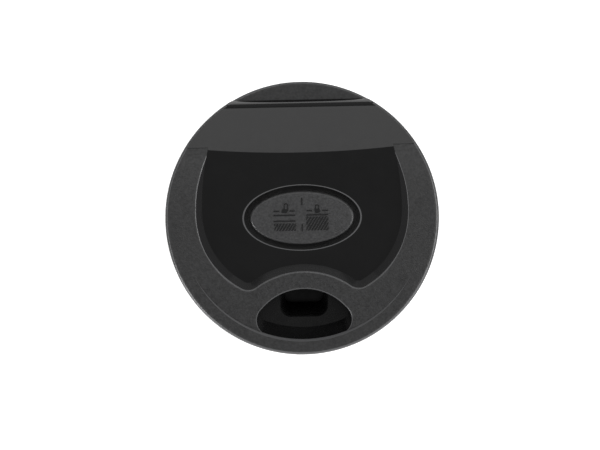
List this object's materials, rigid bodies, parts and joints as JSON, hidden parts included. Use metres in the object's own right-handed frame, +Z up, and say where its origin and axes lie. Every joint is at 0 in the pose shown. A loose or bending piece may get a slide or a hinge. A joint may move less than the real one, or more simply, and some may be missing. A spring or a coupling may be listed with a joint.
{
  "type": "travel mug lid",
  "caption": "Round push-in travel mug lid with a drinking mouth, a glossy deck and an oval push button that opens a sprung valve.",
  "frame": {"origin": "on the lid's axis, in the plane of the plug's bottom edge", "axes": "+Z up out of the mug, -Y towards the drinking mouth, +Y towards the thumb ledge"},
  "size_m": [0.09, 0.09, 0.0351],
  "materials": {
    "shell_plastic": "matte black moulded plastic, fine texture",
    "gloss_plastic": "polished black plastic",
    "bowl_plastic": "polished black plastic",
    "button_plastic": "satin dark grey plastic with raised signs",
    "mechanism_plastic": "plain dark grey moulded plastic",
    "body_plastic": "satin black moulded plastic",
    "gasket_silicone": "grey silicone",
    "seal_silicone": "grey silicone",
    "spring_steel": "stainless spring steel",
    "screw_steel": "stainless steel"
  },
  "bodies": {
    "lid": {"top_shell": "shell_plastic", "deck_panel": "gloss_plastic", "spout_bowl": "bowl_plastic", "lower_body": "body_plastic", "mug_gasket": "gasket_silicone", "duct_seal": "seal_silicone", "stem_seal": "seal_silicone", "spring_washer": "spring_steel", "latch_cam": "mechanism_plastic", "return_spring": "spring_steel"},
    "button": {"button_cap": "button_plastic", "plunger": "mechanism_plastic", "valve_plate": "mechanism_plastic", "valve_gasket": "seal_silicone", "vent_gasket": "seal_silicone", "valve_screw": "screw_steel"},
    "latch": {"latch_wire": "spring_steel"}
  },
  "joints": [
    {"name": "button_press", "type": "slide", "parent": "lid", "child": "button", "axis": [0, 0, -1], "range_m": [0, 0.0045], "stiffness_N_per_m": 1100, "springref_m": -0.0055, "deforming": ["return_spring"]},
    {"name": "latch_swing", "type": "hinge", "parent": "button", "child": "latch", "pos_m": [0.014, 0, 0.0222], "axis": [1, 0, 0], "range_deg": [0, 14.5]}
  ],
  "couplings": [
    {"joint": "latch_swing", "follows": "button_press", "rad_per_m": 56}
  ]
}
